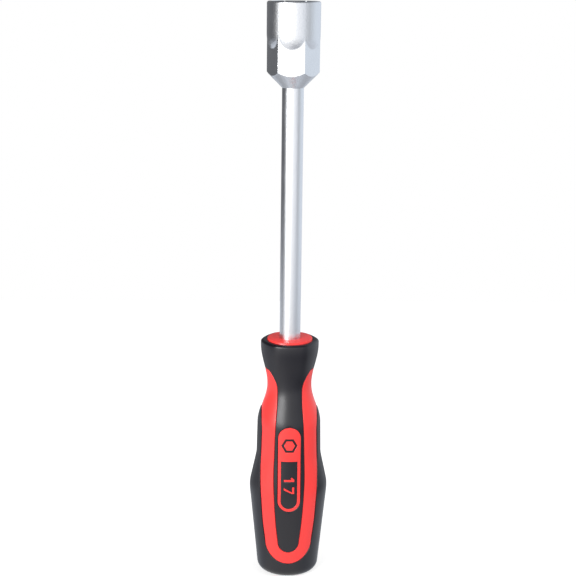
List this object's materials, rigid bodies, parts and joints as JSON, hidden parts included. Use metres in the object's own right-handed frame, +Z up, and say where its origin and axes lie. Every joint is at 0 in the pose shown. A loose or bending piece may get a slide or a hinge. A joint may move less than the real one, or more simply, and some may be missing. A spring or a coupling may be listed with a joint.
{
  "type": "nut driver",
  "caption": "Nut driver: a deep hexagon socket with spanner hexagon on a long round blade, and a two-colour moulded grip with a hexagonal collar and soft side pads.",
  "frame": {"origin": "middle of the butt's flat end, on the blade's axis", "axes": "+Z up the tool from the butt to the socket's mouth, the grip's front with its badge facing -Y, the side pads at +X and -X"},
  "size_m": [0.0358, 0.0302, 0.263],
  "materials": {
    "satin_chrome_plate": "matt chrome plate on hardened steel",
    "core_plastic": "as moulded, hidden",
    "red_plastic": "moulded polypropylene, polished tool",
    "soft_black": "moulded thermoplastic elastomer, fine spark-eroded grain"
  },
  "bodies": {
    "root": {"socket_head": "satin_chrome_plate", "shank": "satin_chrome_plate", "inner_core": "core_plastic", "handle_core": "red_plastic", "grip_collar": "soft_black", "grip_shell": "soft_black", "badge_field_front": "soft_black", "badge_field_back": "soft_black", "badge_symbol_front": "soft_black", "badge_symbol_back": "soft_black"}
  },
  "joints": []
}
